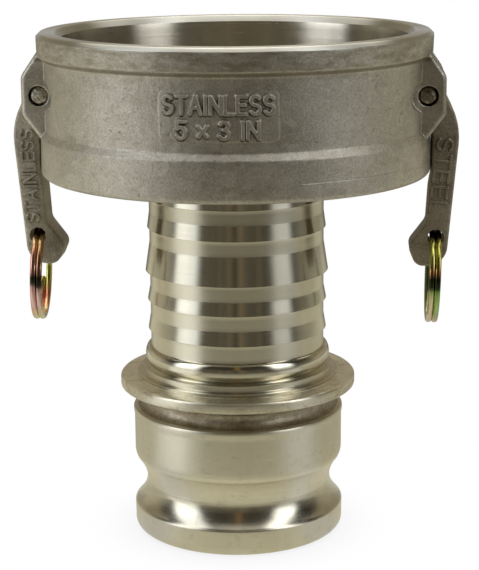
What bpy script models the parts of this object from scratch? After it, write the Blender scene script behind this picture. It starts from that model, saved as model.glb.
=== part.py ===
"""Reducing cam-and-groove coupling: a 5 in female coupler cap bored through its floor and welded
onto the hose-shank end of a 3 in male adapter. All stainless steel, except seal and pull rings.

Frame: metres, +Z up along the flow axis. The origin is the centre of the adapter's end face, on
which the coupling stands. The cam arms sit at +X (right) and -X (left); their pins run along Y.
Dimensions are in millimetres. Profiles are (radius, depth) and outlines are (x, depth), where
depth is measured down from the coupler's rim face.
"""
import bpy
import bmesh
import math
from mathutils import Matrix, Vector

MM = 0.001
HEIGHT = 218.4            # adapter end face to coupler rim face
SHARP_ANGLE = 28          # degrees, above which an edge is shaded sharp
MERGE_DIST = 0.0005
PLANE_TOL = 1e-4          # tolerance when picking edges by plane

SIDES = (("right", 1), ("left", -1))     # name, sign of x
EARS = ((1, -1), (0, 1))                 # number in the tool names, sign of y

# Facets around the turned pieces and the round bars
BODY_SEGS = 48
ADAPTER_SEGS = BODY_SEGS - 8
GASKET_SEGS = 40
WELD_SEGS = 36
BODY_HOLE_SEGS = 28
ARM_ROD_SEGS = 24         # arm bores and pivot pins

# 5 in female coupler cap
BORE_R = 73.15            # takes the 145.5 mm spigot of a 5 in adapter
BORE_LEAD_R = 75.8        # mouth of the lead-in chamfer
BORE_LEAD_DEPTH = 2.6
RIM_FLAT_R = 81.7
RIM_R = 83.4
RIM_CHAMFER = 1.5
RIM_BAND_DEPTH = 9.4      # lower edge of the rim band
WAIST_R = 80.5            # recessed middle band
WAIST_TOP = 11.2
WAIST_BOTTOM = 40.9
SKIRT_R = 82.7            # lower band
SKIRT_TOP = 42.9
CAP_BOTTOM = 60.0
FLOOR_TOP = 53.0
FLOOR_HOLE_R = 37.75      # bored through for the shank
SEAT_R = 76.1             # gasket groove wall
SEAT_TOP = 45.9

# Gasket
GASKET_OD_R = 75.7
GASKET_ID_R = 63.5
GASKET_TOP = 46.35
GASKET_BOTTOM = 52.7
GASKET_TOP_CHAMFER = 0.5
GASKET_BOTTOM_CHAMFER = 0.4

# Hose shank and 3 in male adapter, one turned piece
FLOW_R = 34.0             # bore through the shank and the adapter
FLOW_CHAMFER = 1.2        # at the adapter's end face
SHANK_END = 53.6
SHANK_R = 37.3            # plain end inside the floor hole
SHANK_PLAIN_BOTTOM = 64.9
BARB_ROOT_R = 37.6
BARB_BACK = 0.25          # drop from a crest back to the root
BARBS = (                 # root radius, depth where the ramp starts, crest depth, crest radius
    (SHANK_R, 65.5, 70.8, 38.2),
    (BARB_ROOT_R, 77.0, 83.6, 38.5),
    (BARB_ROOT_R, 90.1, 102.5, 39.5),
    (BARB_ROOT_R, 109.4, 115.2, 38.7),
    (BARB_ROOT_R, 121.9, 128.1, 38.65),
)
BEAD_TOP = 135.6          # rolled bead under the barbs
BEAD_R = 40.1
BEAD_BULGE = 2.2
BEAD_HALF = 4.1           # half height
BEAD_ANGLES = (70, 35, 0, -35, -65)
FLANGE_R = 51.2
FLANGE_TOP = 148.9
FLANGE_BOTTOM = 153.7
NECK_R = 41.0
SPIGOT_TOP = 163.0
SPIGOT_R = 45.5
GROOVE_R = 40.4           # deepest radius of the cam groove
GROOVE_TOP = 185.4
GROOVE_TOP_R = 44.9
GROOVE_BOTTOM = 207.0
GROOVE_STEPS = 10
GROOVE_POWER = 0.85       # below 1 makes the hollow fuller than a sine
NOSE_TOP = 207.2
NOSE_R = 45.8             # 91.5 mm spigot of a 3 in adapter
NOSE_FILLET = 3.8
NOSE_ANGLES = (0, -30, -60, -90)

# Fillet weld under the cap's floor and seal weld inside it: (radius, depth)
WELD_OUTER = ((37.7, 60.3), (42.8, 60.3), (41.8, 62.4), (39.9, 64.2), (37.7, 65.2))
WELD_INNER = ((35.0, 52.7), (36.0, 51.6), (37.7, 51.1), (39.4, 51.6), (40.4, 52.7))

# Pivot pins and the holes for them
PIN_X = 80.7
PIN_DEPTH = 25.75
PIN_R = 3.85
PIN_HALF = 19.3
PIN_CHAMFER = 0.9
PIN_HOLE_R = 4.25
BODY_DRILL_HALF = 30.0    # half length of the tool through both ears
ARM_DRILL_HALF = 12.0     # half length of the tools through an arm

# Ears and the slot between them
EAR_IN = 8.55             # |y| of the inner face
EAR_OUT = 20.5            # |y| of the outer face
EAR_BEVEL = 1.6
EAR_BEVEL_SEGS = 2
EAR_BEVEL_MIN_X = 77.5    # nearer the axis the outline is left sharp
EAR_FILLET_STEPS = 4      # per quarter turn
EAR_CORNERS = (           # x, depth, fillet radius
    (76.0, 6.2, 0), (80.2, 6.2, 0), (88.1, 17.6, 5.0),
    (88.1, 33.6, 4.5), (79.4, 45.3, 0), (76.0, 45.3, 0),
)
SPOTFACE_R = 7.0
SPOTFACE_REACH = 60.0     # |y| of the tool's far end
SLOT_HALF = 8.45
SLOT_TOP = 15.9
SLOT_BOTTOM = 39.3
SLOT_X = (62.0, 96.0)     # inner and outer |x|

# Cam arms, closed with the handle hanging down
ARM_HALF = 8.0            # half the arm's thickness along its pin
ARM_BEVEL = 0.7
ARM_FILLET_STEPS = 5      # per quarter turn
LOBE_R = 13.0             # reach of the cam lobe, pointing inward when closed
LOBE_FALL = 2.4           # radius lost from the lobe to the head's first point
HEAD_R = 7.2              # cam head where it faces the bore when open
HEAD_START = -62          # degrees from inward, over the top to the outside
HEAD_BLEND_END = 95       # where the lobe has eased down to HEAD_R
HEAD_END = 172
HEAD_STEP = 12
HANDLE_CORNERS = (        # x, depth, fillet radius
    (88.05, 24.6, 0),
    (88.3, 26.1, 0),
    (94.9, 39.3, 30.0),   # shoulder of the handle
    (89.6, 99.6, 8.6),    # outer corner of the ring boss
    (77.0, 100.0, 4.6),
    (73.5, 91.6, 4.5),    # inner point of the ring boss
    (81.1, 81.4, 5.0),
    (82.0, 66.5, 20.0),
    (83.1, 60.5, 10.0),
    (83.1, 43.8, 3.0),
    (80.9, 38.0, 4.0),
)

# Pull rings: flattened wire wound about 1.7 turns
EYE_X = 85.2              # ring eye at the end of the arm
EYE_DEPTH = 87.3
EYE_R = 3.45
RING_R = 19.2             # wire centre line
RING_DROP = 18.1          # ring centre below the eye
WIRE_HALF_WIDTH = 1.3     # along X
WIRE_HALF_THICK = 1.2     # radial
WIRE_SIDES = 8
COIL = 1.33               # each turn's offset from the ring's middle plane
WIND_ORIGIN = 88.0        # degrees from the ring's top towards +Y; the next four add to it
WIND_START = 20.0
WIND_END = 642.0
CROSS_START = 288.0       # crossover between the turns
CROSS_END = 334.0
WIND_STEPS = 57


# ---------------------------------------------------------------- helpers
def up(depth):
    """Depth below the rim face to height above the end face."""
    return HEIGHT - depth


def ease(t):
    """Smooth step from 0 to 1."""
    return t * t * (3 - 2 * t)


def material(name, colour, roughness, metallic=1.0):
    mat = bpy.data.materials.new(name)
    mat.use_nodes = True
    shader = mat.node_tree.nodes["Principled BSDF"]
    shader.inputs["Base Color"].default_value = (*colour, 1.0)
    shader.inputs["Roughness"].default_value = roughness
    shader.inputs["Metallic"].default_value = metallic
    return mat


def finish(bm, name, mat=None, origin=(0.0, 0.0, 0.0)):
    """Turn a bmesh in millimetres into an object in metres with its origin at the given point.

    Without a material the object is a hidden boolean tool.
    """
    bmesh.ops.remove_doubles(bm, verts=bm.verts, dist=MERGE_DIST)
    bmesh.ops.recalc_face_normals(bm, faces=bm.faces)
    if bm.calc_volume(signed=True) < 0:
        bmesh.ops.reverse_faces(bm, faces=bm.faces)
    origin = Vector(origin)
    for vert in bm.verts:
        vert.co = (vert.co - origin) * MM
    mesh = bpy.data.meshes.new(name)
    bm.to_mesh(mesh)
    bm.free()
    mesh.shade_smooth()
    mesh.set_sharp_from_angle(angle=math.radians(SHARP_ANGLE))
    ob = bpy.data.objects.new(name, mesh)
    ob.location = origin * MM
    bpy.context.scene.collection.objects.link(ob)
    if mat is None:
        ob.hide_render = True
        ob.display_type = 'WIRE'
    else:
        mesh.materials.append(mat)
    return ob


def apply_tool(target, bm, name, operation='DIFFERENCE'):
    """Make a hidden tool from the bmesh and combine it with the target by a boolean modifier."""
    tool = finish(bm, name)
    mod = target.modifiers.new(f"{operation.lower()}_{name}", 'BOOLEAN')
    mod.operation = operation
    mod.solver = 'EXACT'
    mod.object = tool


def turned(profile, segs):
    """Spin a closed (radius, depth) profile about Z."""
    bm = bmesh.new()
    verts = [bm.verts.new((radius, 0.0, up(depth))) for radius, depth in profile]
    edges = [bm.edges.new((verts[i], verts[(i + 1) % len(verts)])) for i in range(len(verts))]
    bmesh.ops.spin(bm, geom=verts + edges, cent=(0, 0, 0), axis=(0, 0, 1),
                   angle=2 * math.pi, steps=segs, use_merge=True)
    return bm


def arc(radius, depth, half_width, half_height, angles):
    """Profile points on an ellipse about (radius, depth); angles rise from outward to up."""
    return [(radius + half_width * math.cos(math.radians(angle)),
             depth - half_height * math.sin(math.radians(angle))) for angle in angles]


def rounded(corners, per_quarter):
    """Outline with filleted corners, each given as (x, depth, fillet radius)."""
    outline = []
    for i, (x, depth, radius) in enumerate(corners):
        if radius <= 0:
            outline.append((x, depth))
            continue
        corner = Vector((x, depth))
        to_last = (Vector(corners[i - 1][:2]) - corner).normalized()
        to_next = (Vector(corners[(i + 1) % len(corners)][:2]) - corner).normalized()
        half = to_last.angle(to_next) / 2
        reach = radius / math.tan(half)
        centre = corner + (to_last + to_next).normalized() * (radius / math.sin(half))
        first = corner + to_last * reach
        last = corner + to_next * reach
        start = math.atan2(first.y - centre.y, first.x - centre.x)
        end = math.atan2(last.y - centre.y, last.x - centre.x)
        sweep = (end - start + math.pi) % (2 * math.pi) - math.pi
        steps = max(2, math.ceil(abs(sweep) / (math.pi / 2) * per_quarter))
        for j in range(steps + 1):
            angle = start + sweep * j / steps
            outline.append((centre.x + radius * math.cos(angle),
                            centre.y + radius * math.sin(angle)))
    return outline


def plate(outline, y0, y1, side):
    """Extrude an (x, depth) outline along Y, on the side of X given by its sign."""
    bm = bmesh.new()
    face = bm.faces.new([bm.verts.new((side * x, y0, up(depth))) for x, depth in outline])
    extruded = bmesh.ops.extrude_face_region(bm, geom=[face])["geom"]
    moved = [item for item in extruded if isinstance(item, bmesh.types.BMVert)]
    bmesh.ops.translate(bm, verts=moved, vec=(0, y1 - y0, 0))
    return bm


def bevel(bm, edges, offset, segments=1):
    bmesh.ops.bevel(bm, geom=edges, offset=offset, segments=segments, affect='EDGES', profile=0.5)


def bevel_outline(bm, planes, offset, segments=1, min_x=0.0):
    """Bevel the edges that lie in the given Y planes and wholly beyond min_x from the axis."""
    edges = [edge for edge in bm.edges
             if any(all(abs(vert.co.y - y) < PLANE_TOL for vert in edge.verts) for y in planes)
             and all(abs(vert.co.x) > min_x for vert in edge.verts)]
    bevel(bm, edges, offset, segments)


def rod(x, depth, radius, half, segs, y=0.0, chamfer=0.0):
    """Round bar along Y, centred at the given place."""
    bm = bmesh.new()
    bmesh.ops.create_cone(bm, cap_ends=True, cap_tris=False, segments=segs,
                          radius1=radius, radius2=radius, depth=2 * half)
    if chamfer > 0:
        rims = [edge for edge in bm.edges
                if all(abs(abs(vert.co.z) - half) < PLANE_TOL for vert in edge.verts)
                and abs(edge.verts[0].co.z - edge.verts[1].co.z) < PLANE_TOL]
        bevel(bm, rims, chamfer)
    bmesh.ops.rotate(bm, verts=bm.verts, cent=(0, 0, 0),
                     matrix=Matrix.Rotation(math.pi / 2, 3, 'X'))
    bmesh.ops.translate(bm, verts=bm.verts, vec=(x, y, up(depth)))
    return bm


# ---------------------------------------------------------------- coupler cap
def slot_tool(side):
    """Box that opens the cap's wall between a pair of ears."""
    x0, x1 = sorted(side * x for x in SLOT_X)
    bm = bmesh.new()
    bmesh.ops.create_cube(bm, size=1.0)
    for vert in bm.verts:
        vert.co.x = x0 if vert.co.x < 0 else x1
        vert.co.y = -SLOT_HALF if vert.co.y < 0 else SLOT_HALF
        vert.co.z = up(SLOT_BOTTOM) if vert.co.z < 0 else up(SLOT_TOP)
    return bm


def add_ear(body, side, y_sign, tag):
    """Join one ear to the cap and spotface its outer side."""
    y0, y1 = sorted((y_sign * EAR_IN, y_sign * EAR_OUT))
    ear = plate(rounded(EAR_CORNERS, EAR_FILLET_STEPS), y0, y1, side)
    bevel_outline(ear, [y_sign * EAR_OUT], EAR_BEVEL, EAR_BEVEL_SEGS, EAR_BEVEL_MIN_X)
    apply_tool(body, ear, "tool_ear_" + tag, 'UNION')
    spotface = rod(side * PIN_X, PIN_DEPTH, SPOTFACE_R, (SPOTFACE_REACH - EAR_OUT) / 2,
                   BODY_HOLE_SEGS, y=y_sign * (SPOTFACE_REACH + EAR_OUT) / 2)
    apply_tool(body, spotface, "tool_spotface_" + tag)


def coupler_body(mat):
    profile = [
        (BORE_LEAD_R, 0), (RIM_FLAT_R, 0), (RIM_R, RIM_CHAMFER), (RIM_R - 0.3, RIM_BAND_DEPTH),
        (WAIST_R, WAIST_TOP), (WAIST_R, WAIST_BOTTOM), (SKIRT_R - 0.1, SKIRT_TOP),
        # rounded lower corner
        (SKIRT_R, CAP_BOTTOM - 2.1), (SKIRT_R - 0.6, CAP_BOTTOM - 0.6),
        (SKIRT_R - 2.1, CAP_BOTTOM),
        # floor hole, gasket groove and bore
        (FLOOR_HOLE_R, CAP_BOTTOM), (FLOOR_HOLE_R, FLOOR_TOP), (SEAT_R, FLOOR_TOP),
        (SEAT_R, SEAT_TOP), (BORE_R, SEAT_TOP), (BORE_R, BORE_LEAD_DEPTH),
    ]
    body = finish(turned(profile, BODY_SEGS), "coupler_body", mat)
    for word, side in SIDES:
        letter = word[0]
        for number, y_sign in EARS:
            add_ear(body, side, y_sign, f"{letter}{number}")
        apply_tool(body, slot_tool(side), "tool_slot_" + letter)
        pin_hole = rod(side * PIN_X, PIN_DEPTH, PIN_HOLE_R, BODY_DRILL_HALF, BODY_HOLE_SEGS)
        apply_tool(body, pin_hole, "tool_pinhole_" + letter)


# ---------------------------------------------------------------- shank, gasket and welds
def groove_profile():
    """Hollow between the spigot's shoulder and the nose, without its end points."""
    points = []
    for k in range(1, GROOVE_STEPS):
        t = k / GROOVE_STEPS
        edge = GROOVE_TOP_R + (NOSE_R - GROOVE_TOP_R) * t
        hollow = (edge - GROOVE_R) * math.sin(math.pi * t) ** GROOVE_POWER
        points.append((edge - hollow, GROOVE_TOP + (GROOVE_BOTTOM - GROOVE_TOP) * t))
    return points


def hose_shank_adapter(mat):
    profile = [(FLOW_R, SHANK_END), (SHANK_R, SHANK_END), (SHANK_R, SHANK_PLAIN_BOTTOM)]
    for root_r, top, crest, crest_r in BARBS:
        profile += [(root_r, top), (crest_r, crest), (BARB_ROOT_R, crest + BARB_BACK)]
    profile.append((BARB_ROOT_R, BEAD_TOP))
    profile += arc(BEAD_R - BEAD_BULGE, BEAD_TOP + BEAD_HALF, BEAD_BULGE, BEAD_HALF, BEAD_ANGLES)
    profile += [
        # step and flange
        (38.6, 144.2), (41.2, 144.5), (41.3, 146.9), (43.6, FLANGE_TOP),
        (FLANGE_R - 0.8, FLANGE_TOP), (FLANGE_R, FLANGE_TOP + 0.8),
        (FLANGE_R, FLANGE_BOTTOM - 1.2), (FLANGE_R - 1.0, FLANGE_BOTTOM),
        # neck
        (46.0, FLANGE_BOTTOM + 0.1), (43.0, 155.0), (NECK_R, 157.6), (NECK_R + 0.2, 160.0),
        # spigot above the groove
        (43.2, SPIGOT_TOP - 0.4), (45.2, SPIGOT_TOP + 0.2), (SPIGOT_R + 0.4, SPIGOT_TOP + 1.4),
        (SPIGOT_R, 166.6), (SPIGOT_R, 183.0), (GROOVE_TOP_R, GROOVE_TOP),
    ]
    profile += groove_profile()
    profile.append((NOSE_R, NOSE_TOP))
    profile += arc(NOSE_R - NOSE_FILLET, HEIGHT - NOSE_FILLET, NOSE_FILLET, NOSE_FILLET,
                   NOSE_ANGLES)
    profile += [(FLOW_R + FLOW_CHAMFER, HEIGHT), (FLOW_R, HEIGHT - FLOW_CHAMFER)]
    finish(turned(profile, ADAPTER_SEGS), "hose_shank_adapter", mat)


def gasket(mat):
    top, bottom = GASKET_TOP_CHAMFER, GASKET_BOTTOM_CHAMFER
    profile = [
        (GASKET_ID_R, GASKET_TOP + top), (GASKET_ID_R + top, GASKET_TOP),
        (GASKET_OD_R - top, GASKET_TOP), (GASKET_OD_R, GASKET_TOP + top),
        (GASKET_OD_R, GASKET_BOTTOM - bottom), (GASKET_OD_R - bottom, GASKET_BOTTOM),
        (GASKET_ID_R + bottom, GASKET_BOTTOM), (GASKET_ID_R, GASKET_BOTTOM - bottom),
    ]
    finish(turned(profile, GASKET_SEGS), "gasket", mat)


def weld_beads(mat):
    for word, profile in (("outer", WELD_OUTER), ("inner", WELD_INNER)):
        finish(turned(profile, WELD_SEGS), "weld_bead_" + word, mat)


# ---------------------------------------------------------------- arms, pins and rings
def head_radius(angle):
    """Radius of the cam head about its pin."""
    if angle < 0:
        return LOBE_R - LOBE_FALL * (angle / HEAD_START) ** 2
    if angle < HEAD_BLEND_END:
        return LOBE_R + (HEAD_R - LOBE_R) * ease(angle / HEAD_BLEND_END)
    return HEAD_R


def arm_outline():
    """Side view of the +X arm: cam head around the pin, handle and ring boss below."""
    corners = []
    for angle in range(HEAD_START, HEAD_END + 1, HEAD_STEP):
        radius = head_radius(angle)
        corners.append((PIN_X - radius * math.cos(math.radians(angle)),
                        PIN_DEPTH - radius * math.sin(math.radians(angle)), 0))
    return rounded(corners + list(HANDLE_CORNERS), ARM_FILLET_STEPS)


def cam_arm(word, side, mat):
    bm = plate(arm_outline(), -ARM_HALF, ARM_HALF, side)
    bevel_outline(bm, [-ARM_HALF, ARM_HALF], ARM_BEVEL)
    arm = finish(bm, "cam_arm_" + word, mat, origin=(side * PIN_X, 0, up(PIN_DEPTH)))
    for tool, x, depth, radius in (("tool_arm_bore_", PIN_X, PIN_DEPTH, PIN_HOLE_R),
                                   ("tool_eye_", EYE_X, EYE_DEPTH, EYE_R)):
        apply_tool(arm, rod(side * x, depth, radius, ARM_DRILL_HALF, ARM_ROD_SEGS), tool + word)


def pivot_pin(word, side, mat):
    bm = rod(side * PIN_X, PIN_DEPTH, PIN_R, PIN_HALF, ARM_ROD_SEGS, chamfer=PIN_CHAMFER)
    finish(bm, "pivot_pin_" + word, mat, origin=(side * PIN_X, 0, up(PIN_DEPTH)))


def pull_ring(word, side, mat):
    """Split ring: one flattened wire whose crossover lies on the +Y side of the eye."""
    bm = bmesh.new()
    rows = []
    for i in range(WIND_STEPS + 1):
        wound = WIND_START + (WIND_END - WIND_START) * i / WIND_STEPS
        t = min(1.0, max(0.0, (wound - CROSS_START) / (CROSS_END - CROSS_START)))
        shift = COIL - 2 * COIL * ease(t)
        angle = math.radians(wound + WIND_ORIGIN)
        out = Vector((0, math.sin(angle), math.cos(angle)))
        middle = Vector((side * EYE_X + side * shift, 0, up(EYE_DEPTH + RING_DROP)))
        centre = middle + out * RING_R
        row = []
        for j in range(WIRE_SIDES):
            around = 2 * math.pi * (j + 0.5) / WIRE_SIDES
            across = Vector((side * WIRE_HALF_WIDTH * math.cos(around), 0, 0))
            radial = out * (WIRE_HALF_THICK * math.sin(around))
            row.append(bm.verts.new(centre + radial + across))
        rows.append(row)
    for row, after in zip(rows[:-1], rows[1:]):
        for j in range(WIRE_SIDES):
            k = (j + 1) % WIRE_SIDES
            bm.faces.new((row[j], row[k], after[k], after[j]))
    bm.faces.new(rows[0])
    bm.faces.new(rows[-1])
    finish(bm, "pull_ring_" + word, mat, origin=(side * EYE_X, 0, up(EYE_DEPTH)))


# ---------------------------------------------------------------- build
for old in list(bpy.data.objects):
    bpy.data.objects.remove(old, do_unlink=True)

cast = material("cast_stainless", colour=(0.42, 0.40, 0.35), roughness=0.55)
arm_cast = material("arm_cast_stainless", colour=(0.27, 0.25, 0.21), roughness=0.62)
machined = material("turned_stainless", colour=(0.62, 0.58, 0.50), roughness=0.22)
weld = material("weld_metal", colour=(0.45, 0.42, 0.38), roughness=0.35)
pin_steel = material("pin_stainless", colour=(0.40, 0.38, 0.33), roughness=0.35)
plated = material("yellow_zinc_plate", colour=(0.72, 0.55, 0.22), roughness=0.25)
nitrile = material("nitrile_rubber", colour=(0.02, 0.02, 0.02), roughness=0.7, metallic=0.0)

coupler_body(cast)
hose_shank_adapter(machined)
gasket(nitrile)
weld_beads(weld)
for word, side in SIDES:
    cam_arm(word, side, arm_cast)
    pivot_pin(word, side, pin_steel)
    pull_ring(word, side, plated)
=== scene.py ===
"""A stainless cam-arm hose coupler, standing on its hose shank with the wide mouth up.

The flow axis is Z, the front is -Y, and the two arms hang at -X (left) and +X (right).
Pieces are drawn in millimetres, heights as depths below the top face, and scaled to metres
when they become objects. Shaders work in metres.
"""

from functools import cached_property
from math import atan2, ceil, copysign, cos, degrees, hypot, pi, radians, sin, tan

import bpy
import bmesh
import numpy as np
from mathutils import Matrix, Vector, noise


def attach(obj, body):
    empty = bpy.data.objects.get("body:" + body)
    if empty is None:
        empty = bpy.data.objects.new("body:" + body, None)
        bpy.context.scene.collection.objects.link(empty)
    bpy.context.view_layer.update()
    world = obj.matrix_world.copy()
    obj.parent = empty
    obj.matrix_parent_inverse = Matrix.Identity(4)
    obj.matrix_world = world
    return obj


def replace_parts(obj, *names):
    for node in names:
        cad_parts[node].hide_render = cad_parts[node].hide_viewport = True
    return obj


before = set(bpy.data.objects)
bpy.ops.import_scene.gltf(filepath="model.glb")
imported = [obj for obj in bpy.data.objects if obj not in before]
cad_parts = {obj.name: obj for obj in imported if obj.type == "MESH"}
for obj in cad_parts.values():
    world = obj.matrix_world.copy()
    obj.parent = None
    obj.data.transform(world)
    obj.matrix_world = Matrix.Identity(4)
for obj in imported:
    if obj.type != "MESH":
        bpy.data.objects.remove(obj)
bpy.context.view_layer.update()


# ------------------------------------------------------------------ shared dimensions
MM = 0.001
DEGREES = 180.0 / pi
HEIGHT = 218.4
PIN_X, PIN_DEPTH, PIN_HOLE_R = 80.7, 25.75, 4.25
EYE_X, EYE_DEPTH = 85.2, 87.3
ARM_HALF = 8.0                                      # half the arm's thickness along Y
BORE_R, SEAT_R, RIM_R, WAIST_R, SKIRT_R = 73.15, 76.1, 83.4, 80.5, 82.7
BODY_END = 60.0
# barbs of the shank: depth of the top, depth of the crest, crest radius
BARBS = ((65.5, 70.8, 38.2), (77.0, 83.6, 38.5), (90.1, 102.5, 39.5),
         (109.4, 115.2, 38.7), (121.9, 128.1, 38.65))
LEFT, RIGHT = -1, 1                                 # signs of X
SIDE_NAME = {LEFT: "left", RIGHT: "right"}
CAMERA_AZIMUTH = 4.0                                # degrees from -Y towards +X


def up(depth):
    return HEIGHT - depth


def mm(*values):
    """Millimetres to metres."""
    return [value * MM for value in values]


# ------------------------------------------------------------------ shader nodes
class Value:
    """An output of a shader node; arithmetic on it makes math nodes."""

    def __init__(self, tree, socket):
        self.tree = tree
        self.socket = socket

    def __add__(self, other):
        return calc('ADD', self, other)

    def __sub__(self, other):
        return calc('SUBTRACT', self, other)

    def __rsub__(self, other):
        return calc('SUBTRACT', other, self)

    def __mul__(self, other):
        return calc('MULTIPLY', self, other)

    def __truediv__(self, other):
        return calc('DIVIDE', self, other)

    def __rtruediv__(self, other):
        return calc('DIVIDE', other, self)

    def __pow__(self, other):
        return calc('POWER', self, other)

    def output(self, key):
        """Another output of the same node."""
        return Value(self.tree, self.socket.node.outputs[key])

    def remap(self, low, high, to, kind):
        return node(self.tree, 'ShaderNodeMapRange', (self, low, high, *to),
                    interpolation_type=kind, clamp=True)

    def step(self, low, high, to=(0.0, 1.0)):
        """Smooth ramp from to[0] at low to to[1] at high."""
        return self.remap(low, high, to, 'SMOOTHSTEP')

    def line(self, low, high, to=(0.0, 1.0)):
        return self.remap(low, high, to, 'LINEAR')

    def fall(self, low, high):
        return self.step(low, high, to=(1.0, 0.0))

    def band(self, low, high, soft):
        """One between low and high, falling to zero over soft on both sides."""
        return self.step(low - soft, low + soft) * self.fall(high - soft, high + soft)

    def spread(self, low, high):
        """Spreads the usual range of a noise over low to high."""
        return self.line(0.3, 0.7, to=(low, high))

    def separate(self):
        first = node(self.tree, 'ShaderNodeSeparateXYZ', (self,))
        return [first.output(i) for i in range(3)]

    def shifted(self, offset):
        return node(self.tree, 'ShaderNodeVectorMath', (self, offset), operation='ADD')

    def noise(self, scale, detail, rough, distort=0.0):
        return node(self.tree, 'ShaderNodeTexNoise', {
            'Vector': self, 'Scale': scale, 'Detail': detail, 'Roughness': rough,
            'Distortion': distort})

    def ramp(self, stops):
        """Colour ramp; stops are (position, red, green, blue)."""
        result = node(self.tree, 'ShaderNodeValToRGB', (self,))
        elements = result.socket.node.color_ramp.elements
        while len(elements) < len(stops):
            elements.new(0.5)
        for element, (position, *colour) in zip(elements, stops):
            element.position = position
            element.color = (*colour, 1.0)
        return result

    def bump(self, strength, distance, normal=None):
        return node(self.tree, 'ShaderNodeBump', {
            'Strength': strength, 'Distance': distance, 'Height': self, 'Normal': normal})


def node(tree, kind, inputs=(), output=0, **settings):
    """Makes a node, fills its inputs by place or by name, and returns one output."""
    made = tree.nodes.new(kind)
    for key, setting in settings.items():
        setattr(made, key, setting)
    for key, value in inputs.items() if isinstance(inputs, dict) else enumerate(inputs):
        socket = made.inputs[key]
        if isinstance(value, Value):
            tree.links.new(value.socket, socket)
        elif value is not None:
            socket.default_value = (*value, 1.0) if socket.type == 'RGBA' else value
    return Value(tree, made.outputs[output]) if len(made.outputs) else None


def tree_of(*values):
    return next(value.tree for value in values if isinstance(value, Value))


def calc(operation, *values):
    return node(tree_of(*values), 'ShaderNodeMath', values, operation=operation)


def mix(factor, first, second, blend='MIX'):
    return node(tree_of(factor, first, second), 'ShaderNodeMix',
                {0: factor, 6: first, 7: second}, output=2, data_type='RGBA', blend_type=blend)


def times(first, second):
    return mix(1.0, first, second, 'MULTIPLY')


def combine(x, y, z):
    return node(tree_of(x, y, z), 'ShaderNodeCombineXYZ', (x, y, z))


def grey(value):
    return combine(value, value, value)


def camera_ray(tree):
    return node(tree, 'ShaderNodeLightPath', output='Is Camera Ray')


def bearing(x, y):
    """Degrees round Z from the camera's side, positive towards +X."""
    return calc('ARCTAN2', x, y * -1.0) * DEGREES - CAMERA_AZIMUTH


def tinted(colour, *gains):
    """A colour times one gain, or a gain for each channel."""
    gains = gains * 3 if len(gains) == 1 else gains
    return tuple(min(1.0, channel * gain) for channel, gain in zip(colour, gains))


def layered(colour, *rows, zone=None):
    """Lays colours on top of each other, within a zone if one is given.

    Rows are: value, where it starts to show, where it is full, strength, colour.
    """
    for value, start, full, strength, over in rows:
        mask = value.step(start, full)
        if zone:
            mask = mask * zone
        colour = mix(mask * strength, colour, over)
    return colour


def sector_tone(turn, sectors, peak):
    """Painted light and shade round the axis; sectors are (degrees, factor), with no factor
    above peak.
    """
    stops = [((angle + 180.0) / 360.0, *[factor / peak] * 3) for angle, factor in sectors]
    return turn.line(-180.0, 180.0).ramp(stops) * peak


class Place:
    """Object-space position and cylinder coordinates about the flow axis, made on first use."""

    def __init__(self, tree):
        self.point = node(tree, 'ShaderNodeTexCoord', output='Object')

    @cached_property
    def xyz(self):
        return self.point.separate()

    @cached_property
    def radius(self):
        x, y, z = self.xyz
        return calc('SQRT', x * x + y * y)

    @cached_property
    def angle(self):
        x, y, z = self.xyz
        return calc('ARCTAN2', y, x)

    @cached_property
    def depth(self):
        return HEIGHT * MM - self.xyz[2]

    def scaled(self, *factors):
        return combine(*[axis * factor for axis, factor in zip(self.xyz, factors)])


def new_look(name):
    material = bpy.data.materials.new(name)
    material.use_nodes = True
    material.node_tree.nodes.clear()
    return material, material.node_tree


def surface(colour, metallic, rough, normal, anisotropic=None, specular=None):
    tree = colour.tree
    inputs = {'Base Color': colour, 'Metallic': metallic, 'Roughness': rough,
              'Normal': normal, 'Specular IOR Level': specular}
    if anisotropic is not None:
        tangent = node(tree, 'ShaderNodeTangent', direction_type='RADIAL', axis='Z')
        inputs |= {'Anisotropic': anisotropic, 'Anisotropic Rotation': 0.25, 'Tangent': tangent}
    shader = node(tree, 'ShaderNodeBsdfPrincipled', inputs)
    node(tree, 'ShaderNodeOutputMaterial', (shader,))


# ------------------------------------------------------------------ cast metal
# painted light and shade round the barrel, by bearing from the camera: degrees, brightness
BARREL_PAINTED_LIGHT = ((-180, 1.0), (-75, 1.0), (-52, 1.0), (-36, 0.89), (-22, 0.90), (-10, 0.87),
                  (12, 0.87), (28, 0.97), (44, 1.05), (62, 1.10), (90, 1.02), (180, 1.0))


def barrel_marks(place, colour, dark):
    """Tarnished rim band, painted shade in the fillet under it, painted light and shade
    round the barrel, and one cold line; also returns the line.
    """
    depth = place.depth
    rim = depth.fall(*mm(8.8, 9.6))
    tarnish = place.scaled(1.0, 1.0, 3.5).noise(scale=95.0, detail=6.0, rough=0.72)
    colour = layered(colour, (tarnish, 0.40, 0.66, 0.62, tinted(dark, 0.52, 0.46, 0.34)), zone=rim)
    # painted shade: the fillet under the overhanging rim band is darkened
    undercut_shade = depth.band(*mm(9.7, 11.3, 0.45)) * place.radius.fall(*mm(84.2, 85.0))
    colour = mix(undercut_shade * 0.62, colour, tinted(dark, 0.36, 0.31, 0.23))
    # painted light and shade round the barrel, by bearing from the camera
    turn = place.angle * DEGREES + 86.0
    turn = turn + (place.point.noise(scale=22.0, detail=3.0, rough=0.6) - 0.5) * 14.0
    colour = times(colour, grey(sector_tone(turn, BARREL_PAINTED_LIGHT, peak=1.2)))
    waver = place.point.noise(scale=30.0, detail=2.0, rough=0.5)
    fold = depth + (waver - 0.5) * (1.6 * MM)
    line = fold.band(*mm(52.2, 52.5, 0.22)) * place.angle.band(-1.20, -0.62, 0.08)
    return mix(line * 0.55, colour, tinted(dark, 0.45)), line


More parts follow.
